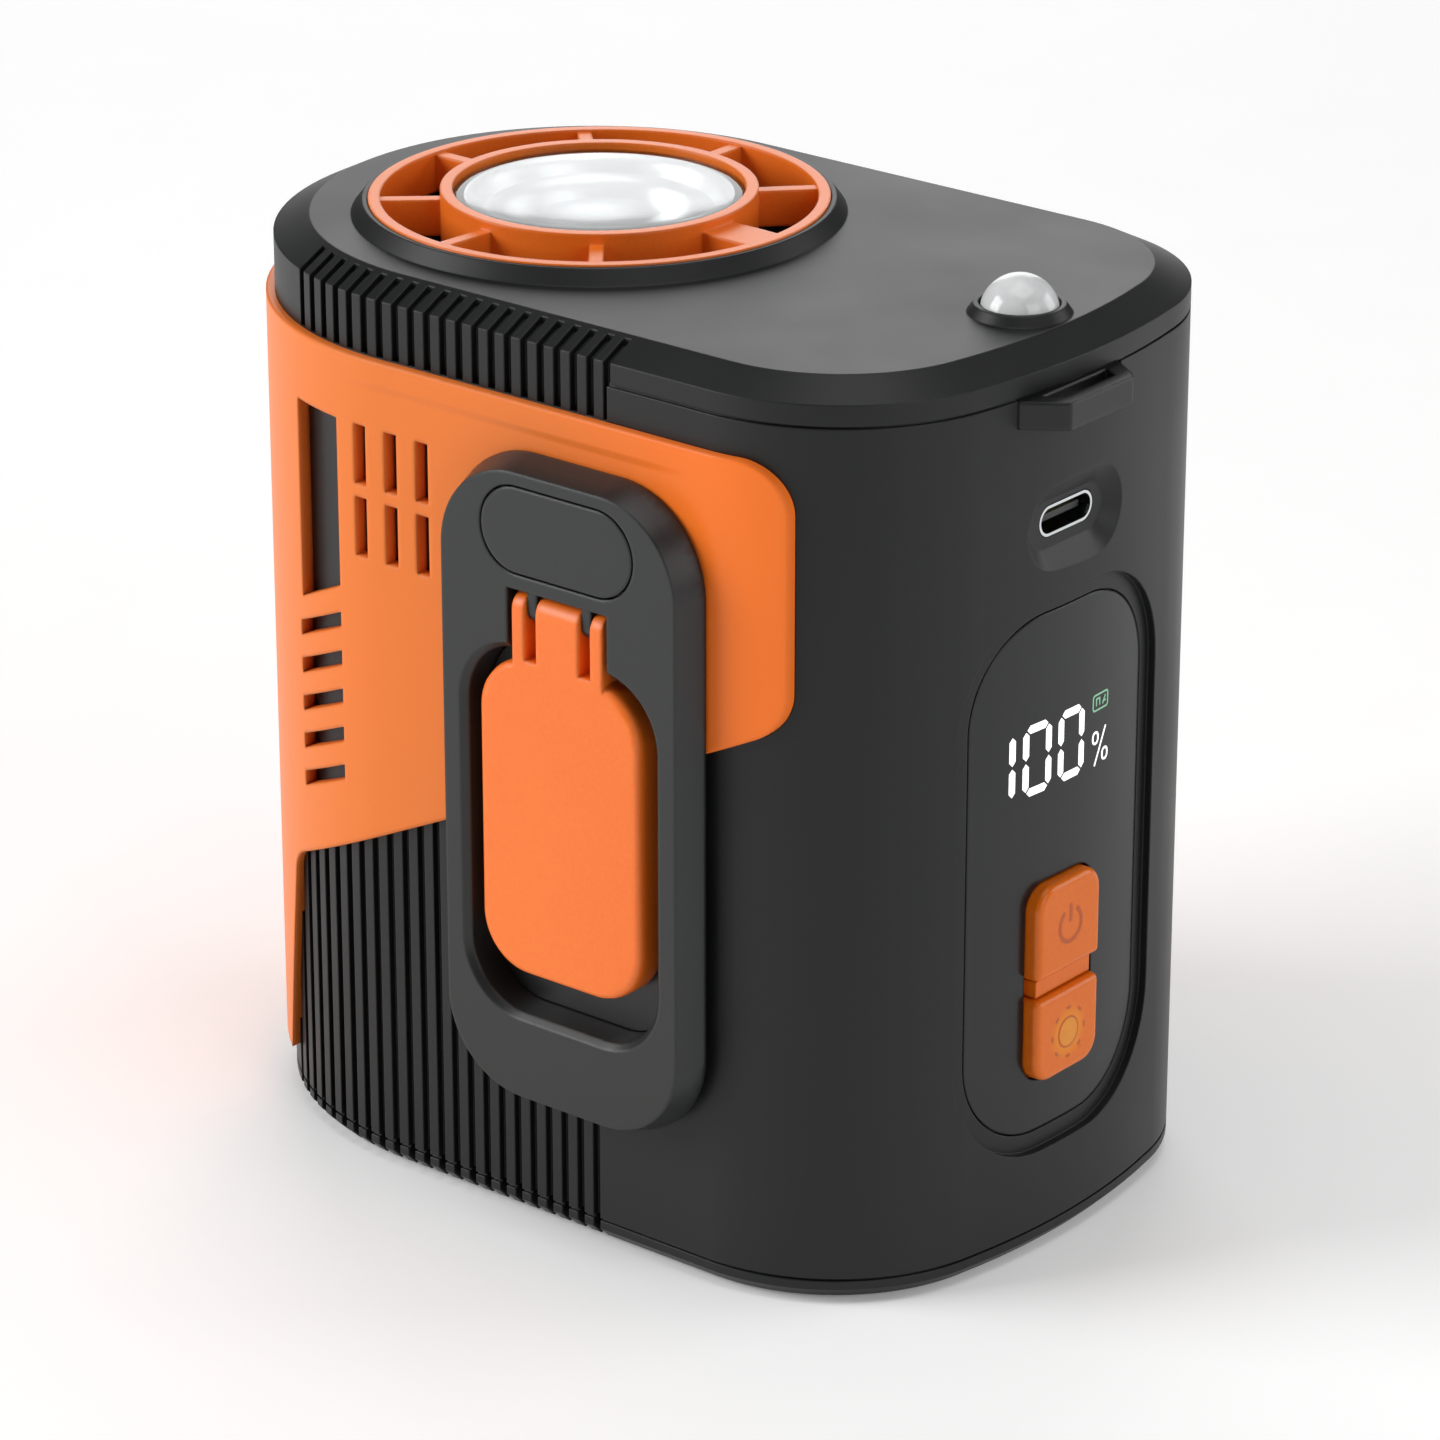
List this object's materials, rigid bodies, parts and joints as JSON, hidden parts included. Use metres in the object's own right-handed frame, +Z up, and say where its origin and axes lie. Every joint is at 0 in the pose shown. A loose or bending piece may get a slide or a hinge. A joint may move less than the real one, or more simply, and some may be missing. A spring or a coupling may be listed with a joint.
{
  "type": "jump starter pack",
  "caption": "Compact jump starter pack with a lamp in a vented fan ring, dome light, percentage display, push buttons, USB-C port, lanyard loop and a hinged flap over the jump-lead socket.",
  "frame": {"origin": "centre of the underside, on the bottom face of the rubber pad", "axes": "+Z up through the flat top, +X towards the display end, -Y towards the side with the flap"},
  "size_m": [0.1035, 0.0723, 0.104],
  "materials": {
    "charcoal_plastic": "fine moulded grain",
    "frame_plastic": "satin, slightly green charcoal",
    "orange_plastic": "satin",
    "orange_gloss": "semi-gloss",
    "rubber": "matte",
    "clear_lens": "clear polycarbonate",
    "pearl_dome": "milky polycarbonate",
    "mirror_coat": "vacuum-metallised plastic",
    "led": "phosphor",
    "white_plastic": "moulded",
    "display_window": "smoked satin window",
    "circuit_board": "solder mask",
    "steel": "plated",
    "aluminium": "machined",
    "copper": "copper strip",
    "gold_contact": "gold plated",
    "fan_plastic": "moulded",
    "socket_blue": "nylon",
    "cell_foil": "pouch foil",
    "part_black": "moulded"
  },
  "bodies": {
    "housing": {"main_shell": "charcoal_plastic", "base_cap": "charcoal_plastic", "base_pad": "rubber", "base_screws": "steel", "top_lid": "charcoal_plastic", "side_wrap": "orange_plastic", "vent_ring": "orange_plastic", "lamp_lens": "clear_lens", "lamp_reflector": "mirror_coat", "lamp_led": "led", "lamp_board": "white_plastic", "lamp_heatsink": "aluminium", "fan_frame": "fan_plastic", "fan_screws": "steel", "beacon_lens": "pearl_dome", "beacon_board": "circuit_board", "beacon_led": "led", "side_frame": "frame_plastic", "frame_badge": "frame_plastic", "hinge_pin": "steel", "socket_plate": "part_black", "jump_socket": "socket_blue", "socket_contacts": "gold_contact", "display_plate": "display_window", "display_module": "white_plastic", "display_board": "circuit_board", "display_screws": "steel", "button_bridge": "orange_gloss", "switch_bodies": "part_black", "usb_shell": "steel", "usb_tongue": "part_black", "usb_board": "circuit_board", "lanyard_loop": "charcoal_plastic", "battery_cells": "cell_foil", "cell_cradle": "white_plastic", "bus_bars": "copper", "main_board": "circuit_board", "board_inductor": "part_black", "board_capacitors": "part_black", "power_mosfets": "part_black", "board_screws": "steel"},
    "flap": {"socket_flap": "orange_plastic"},
    "fan": {"fan_rotor": "fan_plastic"},
    "power_key": {"power_button": "orange_gloss", "power_plunger": "part_black"},
    "light_key": {"light_button": "orange_gloss", "light_plunger": "part_black"}
  },
  "joints": [
    {"name": "flap_hinge", "type": "hinge", "parent": "housing", "child": "flap", "pos_m": [0.0115, -0.03635, 0.07125], "axis": [-1, 0, 0], "range_deg": [0, 100]},
    {"name": "fan_spin", "type": "hinge", "parent": "housing", "child": "fan", "pos_m": [-0.0147, 0, 0.078], "axis": [0, 0, 1], "continuous": true},
    {"name": "power_press", "type": "slide", "parent": "housing", "child": "power_key", "axis": [-1, 0, 0], "range_m": [0, 0.0005], "stiffness_N_per_m": 3000},
    {"name": "light_press", "type": "slide", "parent": "housing", "child": "light_key", "axis": [-1, 0, 0], "range_m": [0, 0.0005], "stiffness_N_per_m": 3000}
  ]
}
